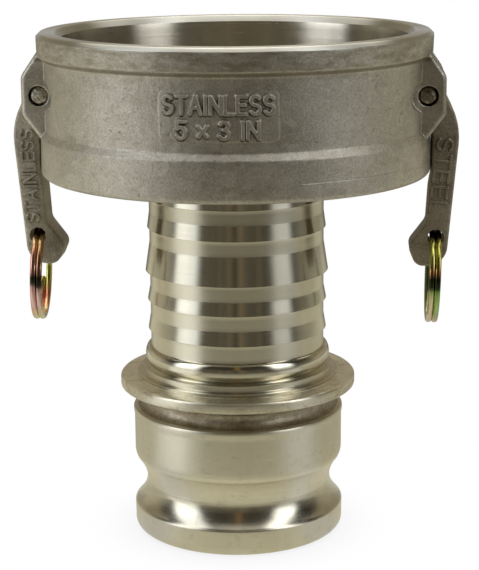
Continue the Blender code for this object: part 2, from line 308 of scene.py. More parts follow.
def wear_and_painted_light(tree, colour, base, dark, wear_and_highlight, painted_crease_shade):
    """Lifts raised edges, partly wear and partly painted highlight, and paints shade into
    creases and onto the faces turned down and to -X.
    """
    edge = node(tree, 'ShaderNodeNewGeometry', output='Pointiness')
    away = node(tree, 'ShaderNodeVectorMath', (edge.output('Normal'), (-0.45, 0.0, -0.89)),
                output='Value', operation='DOT_PRODUCT')
    # wear and painted highlight on raised edges; painted shade in creases and on faces turned down
    # and to -X
    return layered(colour,
                   (edge, 0.51, 0.62, wear_and_highlight, tinted(base, 1.6)),
                   (edge, 0.497, 0.42, painted_crease_shade, tinted(dark, 0.25)),
                   (away, 0.14, 0.48, painted_crease_shade * 0.92, tinted(dark, 0.16)))


def cast_look(name, colours, rough, grain, seed, bevel=0.0, pits=True, stain=0.0, barrel=False,
              dents=0.0, wear_and_highlight=0.0, painted_crease_shade=0.0):
    """As-cast skin: blasted grain, faint clouds and pin holes.

    colours are the base and the dark one, rough the lowest and highest roughness, and
    bevel the rounding of the shaded edges in metres; barrel adds the marks of the body
    and painted light and shade round it.
    """
    base, dark = colours
    look, tree = new_look(name)
    place = Place(tree)
    point = place.point.shifted((seed, seed * 0.7, -seed))
    cloud = point.noise(scale=55.0, detail=6.0, rough=0.66)
    patch = point.noise(scale=260.0, detail=4.0, rough=0.66)
    fine = point.noise(scale=1250.0, detail=3.0, rough=0.75)
    speck = point.noise(scale=620.0, detail=2.0, rough=0.6)
    colour = layered(mix(cloud.step(0.30, 0.72), dark, base),
                     (patch, 0.46, 0.72, 0.34, tinted(base, 1.30)),
                     (fine, 0.44, 0.70, 0.42, tinted(dark, 0.50)),
                     (fine, 0.52, 0.30, 0.26, tinted(base, 1.45)),
                     (speck, 0.62, 0.74, 0.38, tinted(dark, 0.42)))
    if stain:
        streak = place.scaled(1.0, 1.0, 3.0).noise(scale=62.0, detail=5.0, rough=0.7)
        colour = layered(colour, (streak, 0.52, 0.70, stain, tinted(dark, 0.60, 0.50, 0.36)))
    if barrel:
        colour, line = barrel_marks(place, colour, dark)
    height = (point.noise(scale=1150.0, detail=4.0, rough=0.7) * 1.1
              + point.noise(scale=330.0, detail=3.0, rough=0.6) * 0.8)
    if pits:
        spot = node(tree, 'ShaderNodeTexVoronoi', {'Vector': point, 'Scale': 210.0},
                    output='Distance')
        where = point.noise(scale=75.0, detail=2.0, rough=0.5).step(0.52, 0.64)
        pit = spot.fall(0.08, 0.20) * where
        colour = mix(pit * 0.45, colour, tinted(dark, 0.36))
        height = height - pit * 0.9
    if barrel:
        height = height - line * 1.2
    if dents:
        x, y, z = place.xyz
        # dents in the bump; in the colour, painted highlights on their high spots and painted
        # shade in their hollows
        dents_and_sheen = combine(x + z, y, (x - z) * 0.45).noise(scale=520.0, detail=2.0, rough=0.6)
        height = height + dents_and_sheen * (dents * 6.0)
        colour = layered(colour, (dents_and_sheen, 0.54, 0.64, 0.75, tinted(base, 1.7)),
                         (dents_and_sheen, 0.44, 0.36, 0.60, tinted(dark, 0.45)))
    if barrel:
        # lugs are dressed smoother than the barrel; those on the right are made darker
        middle = 0.95
        height = (height - middle) * place.radius.step(*mm(83.9, 84.8), to=(1.0, 0.35)) + middle
        lug = place.xyz[0].step(*mm(77.0, 78.6)) * place.depth.band(*mm(5.0, 46.5, 0.8))
        colour = mix(lug * 0.60, colour, times(colour, (0.60, 0.58, 0.55)))
    # raised edges lifted as wear and painted highlight; painted shade in creases and on
    # down-turned faces
    if wear_and_highlight:
        colour = wear_and_painted_light(tree, colour, base, dark, wear_and_highlight, painted_crease_shade)
    rounding = node(tree, 'ShaderNodeBevel', {'Radius': bevel}, samples=6) if bevel else None
    surface(colour, 1.0, point.noise(scale=420.0, detail=3.0, rough=0.6).spread(*rough),
            height.bump(strength=grain, distance=0.00022, normal=rounding))
    return look


# ------------------------------------------------------------------ turned metal
def turned_look(name, tint, zones, anisotropic, groove, stain=None, sectors=None):
    """Turned metal with fine rings and faint feed bands.

    zones are (top depth, roughness, brightness) down the axis, stain a rusty depth band, and
    sectors (degrees, brightness) the painted reflections and shade round the inside of a bore.
    """
    look, tree = new_look(name)
    place = Place(tree)
    x, y, z = place.xyz
    radius, angle, depth = place.radius, place.angle, place.depth
    _, rough, gain = zones[0]
    for top, zone_rough, zone_gain in zones[1:]:
        below = depth.step(*mm(top - 0.15, top + 0.15))
        rough = (1.0 - below) * rough + below * zone_rough
        gain = (1.0 - below) * gain + below * zone_gain
    ring = combine(radius * 1.0, z * 1.0, angle * 0.0006)
    lines = ring.noise(scale=5200.0, detail=2.0, rough=0.6)
    coarse = ring.noise(scale=900.0, detail=3.0, rough=0.6)
    smear = place.scaled(1.0, 1.0, 0.12).noise(scale=60.0, detail=4.0, rough=0.6)
    blot = place.point.noise(scale=90.0, detail=5.0, rough=0.65)
    round_axis = combine(angle * 0.018, z * 1.0, radius * 1.0)
    scratch = round_axis.noise(scale=2600.0, detail=1.0, rough=0.5)
    colour = layered(tint,
                     (smear, 0.35, 0.68, 0.35, tinted(tint, 0.80, 0.76, 0.70)),
                     (blot, 0.55, 0.80, 0.22, tinted(tint, 1.12, 1.10, 1.06)),
                     (scratch, 0.62, 0.75, 0.16, tinted(tint, 0.6)))
    if sectors:
        # painted reflections and shade round the inside of the bore
        turn = calc('ARCTAN2', x, y) * DEGREES + 4.0
        turn = turn + (place.point.noise(scale=40.0, detail=3.0, rough=0.6) - 0.5) * 3.0
        inside = depth.step(*mm(2.2, 3.0))
        gain = gain * (inside * sector_tone(turn, sectors, peak=1.25) + (1.0 - inside))
        # the rim is a little cooler than the bore
        colour = mix((1.0 - inside) * 1.0, colour, times(colour, (0.965, 1.0, 1.06)))
    colour = times(colour, grey(gain))
    if stain:
        rust = place.scaled(1.0, 1.0, 2.2).noise(scale=150.0, detail=6.0, rough=0.72)
        dots = place.point.noise(scale=900.0, detail=3.0, rough=0.7)
        colour = layered(colour,
                         (rust, 0.46, 0.70, 0.55, tinted(tint, 0.52, 0.42, 0.28)),
                         (dots, 0.56, 0.70, 0.45, tinted(tint, 0.45, 0.38, 0.28)),
                         zone=depth.band(*mm(*stain, 0.6)))
        low = depth.step(*mm(163.6, 165.0))
        freckle = combine(x, y, z * 1.6).noise(scale=210.0, detail=5.0, rough=0.72)
        scuff = place.scaled(0.35, 0.35, 2.6).noise(scale=240.0, detail=4.0, rough=0.6)
        colour = layered(colour,
                         (freckle, 0.53, 0.72, 0.34, tinted(tint, 0.62, 0.57, 0.46)),
                         (scuff, 0.56, 0.74, 0.26, tinted(tint, 1.30)), zone=low)
        rough = rough + (freckle - 0.5) * low * 0.16
    surface(colour, 1.0, rough + (coarse * 0.6 + blot * 0.4).spread(-0.03, 0.05),
            (lines * 0.6 + coarse * 0.8).bump(strength=groove, distance=0.00002),
            anisotropic=anisotropic)
    return look


# ------------------------------------------------------------------ weld, rubber and zinc
def weld_look():
    look, tree = new_look("weld_metal_look")
    place = Place(tree)
    wave = calc('SINE', place.angle * 118.0)        # ripples round the bead
    grain = place.point.noise(scale=240.0, detail=4.0, rough=0.6)
    heat = place.point.noise(scale=120.0, detail=3.0, rough=0.6).ramp([
        (0.30, 0.50, 0.46, 0.38), (0.48, 0.46, 0.38, 0.24),
        (0.60, 0.33, 0.25, 0.24), (0.75, 0.22, 0.24, 0.34)])
    surface(mix(wave.line(-1.0, 1.0) * 0.35, heat, (0.24, 0.21, 0.17)), 1.0,
            grain.spread(0.22, 0.46), (wave * 0.5 + grain).bump(strength=0.5, distance=0.0003))
    return look


def rubber_look():
    look, tree = new_look("nitrile_look")
    place = Place(tree)
    grain = place.point.noise(scale=420.0, detail=4.0, rough=0.6)
    dust = place.point.noise(scale=70.0, detail=4.0, rough=0.6).step(0.50, 0.80)
    colour = mix(dust * 0.5, (0.012, 0.012, 0.013), (0.050, 0.047, 0.042))
    rings = combine(place.radius, place.xyz[2], place.angle * 0.001)
    height = grain + rings.noise(scale=3000.0, detail=2.0, rough=0.5)
    surface(colour, 0.0, grain.spread(0.50, 0.74), height.bump(strength=0.35, distance=0.0002),
            specular=0.4)
    return look


def ring_look(name, near_left, near_right, far, seed, side, skew, glint):
    """Yellow chromated zinc, whose film drifts down the ring and from turn to turn; the colours
    down the ring also carry painted reflections, such as a dark band at mid-height.

    near_left and near_right colour the two turns at the front and far the back; skew is
    the lean of the line between the turns, glint the painted highlight on grazing faces.
    """
    look, tree = new_look(name)
    place = Place(tree)
    x, y, z = place.xyz
    point = place.point.shifted((seed, -seed, seed * 0.3))
    film = point.noise(scale=240.0, detail=3.0, rough=0.6, distort=0.3)
    down = (z + (film - 0.5) * 0.0050).line(*mm(133.1, 92.6))
    strand = (x - side * EYE_X * MM) + (up(EYE_DEPTH) * MM - z) * 0.0314 + y * skew
    front = mix(strand.step(-0.0003, 0.0003), down.ramp(near_left), down.ramp(near_right))
    colour = mix(y.step(-0.002, 0.002), front, down.ramp(far))
    # painted highlight on the grazing faces
    facing = node(tree, 'ShaderNodeLayerWeight', {'Blend': 0.40}, output='Facing')
    colour = mix(facing.step(0.55, 0.95, to=(0.0, 0.40)), colour, glint)
    scuff = point.noise(scale=1100.0, detail=3.0, rough=0.7)
    colour = layered(colour, (scuff, 0.62, 0.78, 0.14, (0.55, 0.50, 0.38)))
    height = (point.noise(scale=1400.0, detail=3.0, rough=0.6) * 0.6
              + point.noise(scale=350.0, detail=2.0, rough=0.5) * 0.7)
    surface(colour, 1.0, point.noise(scale=500.0, detail=2.0, rough=0.5).spread(0.10, 0.22),
            height.bump(strength=0.14, distance=0.0001))
    return look


# ------------------------------------------------------------------ the looks
# base and dark colours
BODY_COLOURS = (0.56, 0.522, 0.430), (0.45, 0.414, 0.332)
MARK_COLOURS = (0.505, 0.471, 0.388), (0.405, 0.373, 0.299)
LEFT_COLOURS = (0.505, 0.465, 0.366), (0.315, 0.280, 0.210)
RIGHT_COLOURS = (0.37, 0.325, 0.240), (0.215, 0.182, 0.128)
NECK_COLOURS = (0.50, 0.440, 0.330), (0.26, 0.216, 0.142)
# the two pins are alike: the left one is painted lit and the right one painted in shade
PIN_LEFT_LIT_COLOURS = (0.62, 0.585, 0.49), (0.34, 0.31, 0.24)
PIN_RIGHT_SHADED_COLOURS = (0.34, 0.30, 0.225), (0.15, 0.125, 0.085)

body_look = cast_look("cast_stainless_look", BODY_COLOURS, rough=(0.38, 0.52), grain=0.55,
                      seed=3.1, bevel=0.0010, stain=0.30, barrel=True)
mark_look = cast_look("cast_marking_look", MARK_COLOURS, rough=(0.38, 0.50), grain=0.50,
                      seed=3.1, wear_and_highlight=0.35, painted_crease_shade=0.95)
arm_looks = {
    LEFT: cast_look("arm_cast_look_left", LEFT_COLOURS, rough=(0.44, 0.60), grain=0.75,
                    seed=7.7, bevel=0.0005, stain=0.35),
    RIGHT: cast_look("arm_cast_look_right", RIGHT_COLOURS, rough=(0.46, 0.62), grain=0.75,
                     seed=5.2, bevel=0.0005, stain=0.35)}
arm_mark_looks = {
    LEFT: cast_look("arm_marking_look_left", LEFT_COLOURS, rough=(0.40, 0.56), grain=0.60,
                    seed=7.7, pits=False, wear_and_highlight=0.80, painted_crease_shade=0.75),
    RIGHT: cast_look("arm_marking_look_right", RIGHT_COLOURS, rough=(0.40, 0.56), grain=0.60,
                     seed=5.2, pits=False, wear_and_highlight=0.85, painted_crease_shade=0.60)}
neck_look = cast_look("cast_neck_look", NECK_COLOURS, rough=(0.32, 0.50), grain=0.45,
                      seed=1.9, pits=False, stain=0.5)

# depth where a zone starts, roughness, brightness; the dimmer rim flat (0.80) and its
# chamfer (0.60) are painted shade
BORE_ZONES = ((0, 0.24, 0.80), (0.30, 0.30, 0.60), (2.7, 0.24, 1.0))
# painted reflections and shade round the bore, by bearing: degrees, brightness
BORE_PAINTED_REFLECTIONS = (
    (-180, 0.8), (-100, 0.56), (-63, 0.54), (-50, 0.68), (-45, 0.84), (-38, 1.12), (-24, 1.12),
    (-19, 0.80), (-12, 0.72), (0, 0.72), (10, 0.75), (16, 0.83), (22, 1.18), (40, 1.18),
    (46, 0.98), (55, 0.98), (62, 0.80), (75, 0.60), (100, 0.58), (180, 0.8))
bore_look = turned_look("turned_bore_look", (0.84, 0.79, 0.65), BORE_ZONES, anisotropic=0.96,
                        groove=0.22, sectors=BORE_PAINTED_REFLECTIONS)

shank_zones = [(0, 0.26, 0.95)]
for top, crest, _ in BARBS:                         # barbs are smoother than the lands between
    shank_zones += [(top + 0.1, 0.155, 0.96), (crest, 0.29, 1.02 if top > 70 else 0.92)]
# from depth 148.5 the flange top is painted 1.25 times brighter: painted light
shank_zones += [(135.6, 0.14, 1.0), (144.0, 0.24, 1.0), (148.5, 0.36, 1.25),
                (149.8, 0.36, 1.05), (162.8, 0.37, 1.06), (184.0, 0.30, 1.14),
                (196.5, 0.20, 0.97), (206.6, 0.30, 1.0)]
shank_look = turned_look("turned_stainless_look", (0.637, 0.598, 0.468), shank_zones,
                         anisotropic=0.50, groove=0.30, stain=(148.0, 163.2))
pin_looks = {
    LEFT: cast_look("pin_look_left", PIN_LEFT_LIT_COLOURS, rough=(0.24, 0.40), grain=0.45,
                    seed=4.4, pits=False, dents=0.8),
    RIGHT: cast_look("pin_look_right", PIN_RIGHT_SHADED_COLOURS, rough=(0.26, 0.42), grain=0.50,
                     seed=6.4, pits=False, dents=0.7)}
bead_look = weld_look()
gasket_look = rubber_look()

# film colours, with painted reflections such as the dark band at mid-height where the dark
# camera side is mirrored: place from the top of a ring (0) to its bottom (1), red, green, blue
ring_looks = {
    LEFT: ring_look(
        "yellow_zinc_look_left",
        near_left=[
            (0.02, 0.26, 0.16, 0.07), (0.10, 0.66, 0.46, 0.24), (0.18, 0.60, 0.26, 0.16),
            (0.34, 0.74, 0.40, 0.32), (0.40, 0.45, 0.22, 0.15), (0.44, 0.07, 0.055, 0.035),
            (0.50, 0.05, 0.05, 0.03), (0.56, 0.50, 0.28, 0.24), (0.74, 0.74, 0.46, 0.42),
            (0.86, 0.78, 0.56, 0.40), (1.0, 0.76, 0.72, 0.34)],
        near_right=[
            (0.02, 0.26, 0.16, 0.07), (0.10, 0.62, 0.40, 0.18), (0.18, 0.46, 0.26, 0.12),
            (0.34, 0.42, 0.24, 0.14), (0.42, 0.20, 0.12, 0.07), (0.46, 0.04, 0.03, 0.02),
            (0.53, 0.035, 0.03, 0.02), (0.58, 0.46, 0.30, 0.26), (0.74, 0.70, 0.48, 0.42),
            (0.86, 0.66, 0.58, 0.36), (1.0, 0.74, 0.74, 0.32)],
        far=[
            (0.15, 0.40, 0.32, 0.12), (0.35, 0.66, 0.60, 0.22), (0.58, 0.62, 0.62, 0.12),
            (0.72, 0.56, 0.42, 0.14), (0.82, 0.70, 0.26, 0.16), (0.93, 0.74, 0.50, 0.26),
            (1.0, 0.78, 0.78, 0.36)],
        seed=2.0, side=LEFT, skew=0.0542, glint=(0.92, 0.80, 0.72)),
    RIGHT: ring_look(
        "yellow_zinc_look_right",
        near_left=[
            (0.02, 0.12, 0.11, 0.03), (0.10, 0.42, 0.40, 0.10), (0.22, 0.54, 0.52, 0.16),
            (0.31, 0.44, 0.36, 0.12), (0.37, 0.46, 0.24, 0.09), (0.43, 0.05, 0.05, 0.025),
            (0.52, 0.04, 0.045, 0.02), (0.57, 0.34, 0.40, 0.14), (0.66, 0.62, 0.56, 0.32),
            (0.84, 0.72, 0.58, 0.38), (1.0, 0.60, 0.54, 0.42)],
        near_right=[
            (0.02, 0.12, 0.11, 0.03), (0.10, 0.36, 0.34, 0.07), (0.22, 0.50, 0.48, 0.10),
            (0.31, 0.40, 0.32, 0.09), (0.37, 0.38, 0.19, 0.07), (0.43, 0.04, 0.04, 0.02),
            (0.53, 0.035, 0.05, 0.02), (0.58, 0.25, 0.38, 0.10), (0.76, 0.38, 0.51, 0.16),
            (0.86, 0.38, 0.42, 0.22), (1.0, 0.62, 0.44, 0.38)],
        far=[
            (0.05, 0.12, 0.12, 0.05), (0.50, 0.18, 0.20, 0.09), (0.70, 0.17, 0.22, 0.11),
            (0.86, 0.46, 0.50, 0.22), (1.0, 0.60, 0.52, 0.40)],
        seed=9.0, side=RIGHT, skew=0.0, glint=(0.86, 0.84, 0.40))}


# ------------------------------------------------------------------ meshes and objects
def face_outward(bm):
    bmesh.ops.recalc_face_normals(bm, faces=bm.faces)
    if bm.calc_volume(signed=True) < 0:
        bmesh.ops.reverse_faces(bm, faces=bm.faces)


def new_object(bm, name):
    mesh = bpy.data.meshes.new(name)
    bm.to_mesh(mesh)
    bm.free()
    ob = bpy.data.objects.new(name, mesh)
    bpy.context.scene.collection.objects.link(ob)
    return ob


def dress(bm, name, looks, body, sharp=None):
    """Turns a mesh in millimetres into a smooth-shaded object; sharp is the angle of its edges."""
    for vert in bm.verts:
        vert.co *= MM
    ob = new_object(bm, name)
    for look in looks:
        ob.data.materials.append(look)
    ob.data.shade_smooth()
    if sharp:
        ob.data.set_sharp_from_angle(angle=radians(sharp))
    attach(ob, body)
    return ob


def finish(bm, name, looks, body, replaced, sharp):
    """Dresses a closed piece, which takes the place of a CAD node."""
    face_outward(bm)
    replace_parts(dress(bm, name, looks, body, sharp), replaced)


def helper(bm):
    """A helper object in millimetres for the cuts, removed afterwards."""
    face_outward(bm)
    return new_object(bm, "helper")


def merged(parts):
    """Several separate closed meshes as one."""
    bm = bmesh.new()
    for part in parts:
        face_outward(part)
        mesh = bpy.data.meshes.new("part")
        part.to_mesh(mesh)
        part.free()
        bm.from_mesh(mesh)
        bpy.data.meshes.remove(mesh)
    return bm


def carve(base, *steps):
    """Joins and cuts a mesh with others; steps are (operation, mesh)."""
    base = helper(base)
    used = [base]
    for operation, tool in steps:
        modifier = base.modifiers.new(operation, 'BOOLEAN')
        modifier.operation = operation
        modifier.solver = 'EXACT'
        modifier.object = helper(tool)
        used.append(modifier.object)
    depsgraph = bpy.context.evaluated_depsgraph_get()
    depsgraph.update()
    mesh = bpy.data.meshes.new_from_object(base.evaluated_get(depsgraph))
    bm = bmesh.new()
    bm.from_mesh(mesh)
    bpy.data.meshes.remove(mesh)
    for ob in used:
        mesh = ob.data
        bpy.data.objects.remove(ob, do_unlink=True)
        bpy.data.meshes.remove(mesh)
    return bm


def rounded(corners, per_quarter):
    """Closed outline of (x, y, radius) corners, with arcs of so many steps per quarter turn."""
    out = []
    for i, (x, y, radius) in enumerate(corners):
        if radius <= 0:
            out.append((x, y))
            continue
        corner = Vector((x, y))
        before = (Vector(corners[i - 1][:2]) - corner).normalized()
        after = (Vector(corners[(i + 1) % len(corners)][:2]) - corner).normalized()
        half = before.angle(after) / 2
        tangent = radius / tan(half)
        centre = corner + (before + after).normalized() * (radius / sin(half))
        start = corner + before * tangent - centre
        end = corner + after * tangent - centre
        first = atan2(start.y, start.x)
        sweep = (atan2(end.y, end.x) - first + pi) % (2 * pi) - pi
        steps = max(2, ceil(abs(sweep) / (pi / 2) * per_quarter))
        for j in range(steps + 1):
            angle = first + sweep * j / steps
            out.append((centre.x + radius * cos(angle), centre.y + radius * sin(angle)))
    return out


def densify(loop, step):
    """Splits long stretches of a closed loop into steps."""
    out = []
    for i, (x, y) in enumerate(loop):
        next_x, next_y = loop[(i + 1) % len(loop)]
        out.append((x, y))
        extra = int(hypot(next_x - x, next_y - y) / step)
        for j in range(1, extra + 1):
            part = j / (extra + 1)
            out.append((x + (next_x - x) * part, y + (next_y - y) * part))
    return out


def still(radius, depth, angle):
    return 0.0, 0.0


def turned(loop, segments, wobble=still):
    """Turns a closed (radius, depth) loop about the flow axis.

    wobble(radius, depth, angle) gives what is added to the radius and to the depth.
    """
    bm = bmesh.new()
    columns = []
    for i in range(segments):
        angle = 2 * pi * i / segments
        column = []
        for radius, depth in loop:
            add_r, add_d = wobble(radius, depth, angle)
            column.append(bm.verts.new(((radius + add_r) * cos(angle),
                                        (radius + add_r) * sin(angle), up(depth + add_d))))
        columns.append(column)
    count = len(loop)
    for i in range(segments):
        here, there = columns[i], columns[(i + 1) % segments]
        for j in range(count):
            k = (j + 1) % count
            bm.faces.new((here[j], there[j], there[k], here[k]))
    return bm


def skin(bm, rows):
    """Faces between rings of vertices, each row closed on itself."""
    for here, there in zip(rows[:-1], rows[1:]):
        for i in range(len(here)):
            j = (i + 1) % len(here)
            bm.faces.new((here[i], here[j], there[j], there[i]))


def circle(bm, x, depth, radius, y, segments):
    """A ring of vertices round a line along Y."""
    return [bm.verts.new((x + radius * cos(2 * pi * i / segments), y,
                          up(depth) + radius * sin(2 * pi * i / segments)))
            for i in range(segments)]


def plate(outline, y0, y1, side):
    """A flat plate from an (x, depth) outline, on one side of the flow axis."""
    bm = bmesh.new()
    face = bm.faces.new([bm.verts.new((side * x, y0, up(depth))) for x, depth in outline])
    extruded = bmesh.ops.extrude_face_region(bm, geom=[face])["geom"]
    moved = [item for item in extruded if isinstance(item, bmesh.types.BMVert)]
    bmesh.ops.translate(bm, verts=moved, vec=(0, y1 - y0, 0))
    return bm


def bevel_rims(bm, planes, offset, segments, min_x=0.0):
    """Rounds the edges in some Y planes, where both ends lie further out than min_x."""
    edges = [edge for edge in bm.edges
             if any(all(abs(v.co.y - plane) < 1e-4 for v in edge.verts) for plane in planes)
             and all(abs(v.co.x) > min_x for v in edge.verts)]
    bmesh.ops.bevel(bm, geom=edges, offset=offset, segments=segments, affect='EDGES',
                    profile=0.5)


def rod(x, depth, radius, half, y=0.0):
    """A round rod along Y."""
    bm = bmesh.new()
    bmesh.ops.create_cone(bm, cap_ends=True, cap_tris=False, segments=56, radius1=radius,
                          radius2=radius, depth=2 * half)
    bmesh.ops.rotate(bm, verts=bm.verts, cent=(0, 0, 0), matrix=Matrix.Rotation(pi / 2, 3, 'X'))
    bmesh.ops.translate(bm, verts=bm.verts, vec=(x, y, up(depth)))
    return bm


def tapered_plug(x, depth, ends):
    """A tapered plug along Y; ends are two (radius, y)."""
    bm = bmesh.new()
    rows = [circle(bm, x, depth, radius, y, 72) for radius, y in ends]
    skin(bm, rows)
    for row in rows:
        bm.faces.new(row)
    return bm


def box(x_range, y_range, depth_range):
    bm = bmesh.new()
    bmesh.ops.create_cube(bm, size=1.0)
    for vert in bm.verts:
        vert.co.x = x_range[vert.co.x > 0]
        vert.co.y = y_range[vert.co.y > 0]
        vert.co.z = up(depth_range[vert.co.z < 0])
    return bm


# ------------------------------------------------------------------ raised marks
def arc(centre_x, centre_y, radius_x, radius_y, start, end):
    turns = [radians(start + (end - start) * i / 12) for i in range(13)]
    return [(centre_x + radius_x * cos(turn), centre_y + radius_y * sin(turn)) for turn in turns]


# width of each character at height 1, and its strokes in that width
GLYPHS = {
    'S': (.66, lambda w: [arc(.5 * w, .755, .44 * w, .245, 28, 270)
                          + arc(.5 * w, .255, .46 * w, .255, 90, -152)]),
    'T': (.66, lambda w: [[(0, 1), (w, 1)], [(w / 2, 1), (w / 2, 0)]]),
    'A': (.76, lambda w: [[(0, 0), (w / 2, 1), (w, 0)], [(.2 * w, .36), (.8 * w, .36)]]),
    'I': (.10, lambda w: [[(w / 2, 0), (w / 2, 1)]]),
    'N': (.70, lambda w: [[(0, 0), (0, 1), (w, 0), (w, 1)]]),
    'L': (.56, lambda w: [[(0, 1), (0, 0), (w, 0)]]),
    'E': (.60, lambda w: [[(w, 1), (0, 1), (0, 0), (w, 0)], [(0, .52), (.86 * w, .52)]]),
    '5': (.62, lambda w: [[(.92 * w, 1), (.12 * w, 1), (.06 * w, .56)]
                          + arc(.48 * w, .33, .47 * w, .33, 128, -150)]),
    '3': (.62, lambda w: [arc(.46 * w, .76, .42 * w, .24, 155, -90),
                          arc(.46 * w, .27, .48 * w, .27, 90, -155)]),
    'x': (.54, lambda w: [[(0, .12), (w, .72)], [(0, .72), (w, .12)]]),
    ' ': (.26, lambda w: []),
}
LETTER_GAP = .28


def text_strokes(word, height, length, stroke):
    """Segments of a word centred on the origin, with its outer size and its stroke width."""
    total = sum(GLYPHS[char][0] for char in word) + LETTER_GAP * (len(word) - 1)
    scale = (length - stroke) / total
    strokes, start = [], -total / 2
    for char in word:
        width, draw = GLYPHS[char]
        for line in draw(width):
            points = [((start + x) * scale, (y - .5) * (height - stroke)) for x, y in line]
            strokes += list(zip(points[:-1], points[1:]))
        start += width + LETTER_GAP
    return strokes


def moved(strokes, du, dv):
    return [tuple((u + du, v + dv) for u, v in stroke) for stroke in strokes]


def distance(U, V, strokes):
    """Distance of each grid point from the nearest stroke."""
    best = np.full(U.shape, 1e9)
    for (au, av), (bu, bv) in strokes:
        du, dv = bu - au, bv - av
        part = np.clip(((U - au) * du + (V - av) * dv) / max(du * du + dv * dv, 1e-12), 0, 1)
        best = np.minimum(best, (U - au - part * du) ** 2 + (V - av - part * dv) ** 2)
    return np.sqrt(best)


def smooth01(x):
    x = np.clip(x, 0, 1)
    return x * x * (3 - 2 * x)


def relief(half_u, half_v, cell, height_at, to_world, sink, name, look, body):
    """Raised marks as a fine sheet that dips under the surface where nothing is raised."""
    count_u, count_v = int(2 * half_u / cell) + 1, int(2 * half_v / cell) + 1
    U, V = np.meshgrid(np.linspace(-half_u, half_u, count_u),
                       np.linspace(-half_v, half_v, count_v), indexing='ij')
    H = height_at(U, V) - sink
    raised = H > -sink + 1e-4
    use = raised.copy()
    for i in (-1, 0, 1):
        for j in (-1, 0, 1):
            use |= np.roll(np.roll(raised, i, 0), j, 1)
    bm = bmesh.new()
    grid = {}
    for i in range(count_u - 1):
        for j in range(count_v - 1):
            corners = (i, j), (i + 1, j), (i + 1, j + 1), (i, j + 1)
            if all(use[corner] for corner in corners):
                for corner in corners:
                    if corner not in grid:
                        grid[corner] = bm.verts.new(to_world(U[corner], V[corner], H[corner]))
                bm.faces.new([grid[corner] for corner in corners])
    dress(bm, name, [look], body)


# ------------------------------------------------------------------ coupler body
EAR_INNER, EAR_OUTER = 8.55, 20.5                   # faces of the ears along Y
SLOT_HALF, SLOT_DEPTHS = 8.45, (15.9, 39.3)         # slots the arms reach through
# radius, depth, corner radius
BODY_PROFILE = [
    (75.8, 0, 0.12), (81.75, 0, 0.35), (RIM_R, 1.6, 0.5), (RIM_R - 0.25, 9.2, 0.7),
    (WAIST_R, 11.5, 1.0), (WAIST_R, 40.5, 1.0), (SKIRT_R - 0.1, 43.2, 0.8),
    (SKIRT_R, BODY_END, 2.3), (37.75, BODY_END, 0.25), (37.75, 53.0, 0.25),
    (SEAT_R, 53.0, 0.4), (SEAT_R, 45.9, 0.15), (BORE_R, 45.9, 0.3), (BORE_R, 2.6, 0.25)]
# x, depth, corner radius
EAR_OUTLINE = [(74.5, 6.2, 0), (80.2, 6.2, 0), (88.1, 17.6, 5.0), (88.1, 33.6, 4.5),
               (79.4, 45.3, 0), (74.5, 45.3, 0)]


def cast_wobble(radius, depth, angle):
    """Slight unevenness of the as-cast outside; machined faces stay true."""
    if radius > 78.0 and depth > 3.0 or depth > 59.0 and radius > 39:
        point = Vector((cos(angle) * 3.1, sin(angle) * 3.1, depth * 0.05))
        return 0.10 * noise.noise(point * 1.6) + 0.04 * noise.noise(point * 6.0), 0.0
    return 0.0, 0.0


def build_body():
    base = turned(densify(rounded(BODY_PROFILE, 5), 3.0), 288, cast_wobble)
    ears, recesses, slots, holes = [], [], [], []
    outline = rounded(EAR_OUTLINE, 8)
    for side in (RIGHT, LEFT):
        pin_x = side * PIN_X
        for facing in (-1, 1):                      # front, back
            ear = plate(outline, *sorted((facing * EAR_INNER, facing * EAR_OUTER)), side)
            bevel_rims(ear, [facing * EAR_OUTER], offset=1.9, segments=6, min_x=76.5)
            bevel_rims(ear, [facing * EAR_INNER], offset=0.4, segments=2, min_x=83.9)
            ears.append(ear)
            recesses.append(tapered_plug(pin_x, PIN_DEPTH, (
                (6.95, facing * EAR_OUTER), (7.9, facing * 42.0))))
            holes.append(rod(pin_x, PIN_DEPTH, PIN_HOLE_R, 8.0, y=facing * 16.0))
        slots.append(box(sorted((side * 62.0, side * 96.0)), (-SLOT_HALF, SLOT_HALF),
                         SLOT_DEPTHS))
    bm = carve(base, ('UNION', merged(ears)), ('DIFFERENCE', merged(recesses)),
               ('DIFFERENCE', merged(slots)), ('DIFFERENCE', merged(holes)))
    bmesh.ops.remove_doubles(bm, verts=bm.verts, dist=0.002)
    for face in bm.faces:
        centre = face.calc_center_median()
        radius, depth = hypot(centre.x, centre.y), HEIGHT - centre.z
        rim = depth < 1.75 and 75.0 < radius < RIM_R + 0.2
        in_slot = radius > 73.6 and abs(centre.y) < 8.6 and 15.0 < depth < 40
        bore = radius < 77.0 and depth < 53.2 and not in_slot
        throat = radius < 39 and depth < BODY_END
        face.material_index = int(rim or bore or throat)
    finish(bm, "coupler_casting", [body_look, bore_look], "coupling",
           "coupler_body", sharp=34.0)


